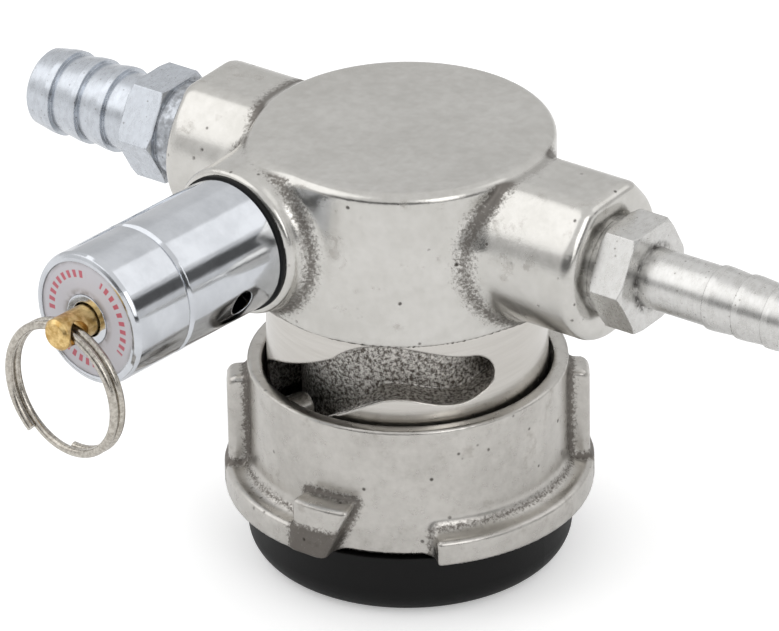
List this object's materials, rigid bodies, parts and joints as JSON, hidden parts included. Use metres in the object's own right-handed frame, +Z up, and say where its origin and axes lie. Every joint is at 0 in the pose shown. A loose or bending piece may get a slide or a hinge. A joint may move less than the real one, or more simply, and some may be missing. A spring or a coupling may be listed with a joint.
{
  "type": "keg coupler",
  "caption": "Low-profile twist keg coupler: a head with two hose nipples and a relief valve turns on cam slots in a bayonet lug ring, with a rubber base cap.",
  "frame": {"origin": "middle of the base cap's underside, on the coupler's main axis", "axes": "+Z up along the main axis, +X towards the gas nipple; the relief valve points towards -Y"},
  "size_m": [0.1389, 0.0883, 0.068],
  "materials": {
    "plated_casting": "satin",
    "cast_sleeve": "satin",
    "chrome": "polished",
    "nipple_metal": "satin",
    "steel": "satin",
    "ring_steel": "polished",
    "brass": "satin",
    "black_rubber": "matte",
    "seal_rubber": "matte",
    "white_label": "gloss",
    "clear_plastic": "gloss"
  },
  "bodies": {
    "lug_ring": {"lug_ring": "plated_casting", "guide_pins": "steel"},
    "base_cap": {"base_cap": "black_rubber"},
    "keg_seal": {"keg_seal": "seal_rubber"},
    "head": {"head_casting": "plated_casting", "cam_sleeve": "cast_sleeve", "sleeve_o_ring": "seal_rubber", "probe_tube": "steel", "probe_o_ring": "seal_rubber", "probe_nut": "steel", "probe_seal": "seal_rubber", "ball_cage": "clear_plastic", "gas_nipple": "nipple_metal", "gas_nipple_washer": "seal_rubber", "gas_check_valve": "seal_rubber", "beer_nipple": "nipple_metal", "beer_nipple_washer": "seal_rubber", "relief_gasket": "seal_rubber", "relief_body": "chrome", "relief_seat": "brass", "relief_cap": "chrome", "relief_label": "white_label", "relief_spring": "steel"},
    "check_ball": {"check_ball": "steel"},
    "relief_stem": {"relief_stem": "brass", "relief_poppet": "seal_rubber"},
    "pull_ring": {"pull_ring": "ring_steel"}
  },
  "joints": [
    {"name": "head_drop", "type": "slide", "parent": "lug_ring", "child": "keg_seal", "axis": [0, 0, -1], "range_m": [0, 0.01072]},
    {"name": "head_turn", "type": "hinge", "parent": "keg_seal", "child": "head", "pos_m": [0, 0, 0.0452], "axis": [0, 0, -1], "range_deg": [0, 48.7]},
    {"name": "cap_pull", "type": "slide", "parent": "lug_ring", "child": "base_cap", "axis": [0, 0, -1], "range_m": [0, 0.03]},
    {"name": "ball_lift", "type": "slide", "parent": "head", "child": "check_ball", "axis": [0, 0, 1], "range_m": [0, 0.004]},
    {"name": "relief_pull", "type": "slide", "parent": "head", "child": "relief_stem", "axis": [-0.1132, -0.9936, 0], "range_m": [0, 0.0025], "stiffness_N_per_m": 2000, "springref_m": -0.005, "deforming": ["relief_spring"]},
    {"name": "ring_swing", "type": "hinge", "parent": "relief_stem", "child": "pull_ring", "pos_m": [-0.01647, -0.05831, 0.05645], "axis": [-0.9936, 0.1132, 0], "range_deg": [-8, 120]}
  ],
  "couplings": [
    {"joint": "head_drop", "follows": "head_turn", "m_per_rad": 0.012605}
  ]
}
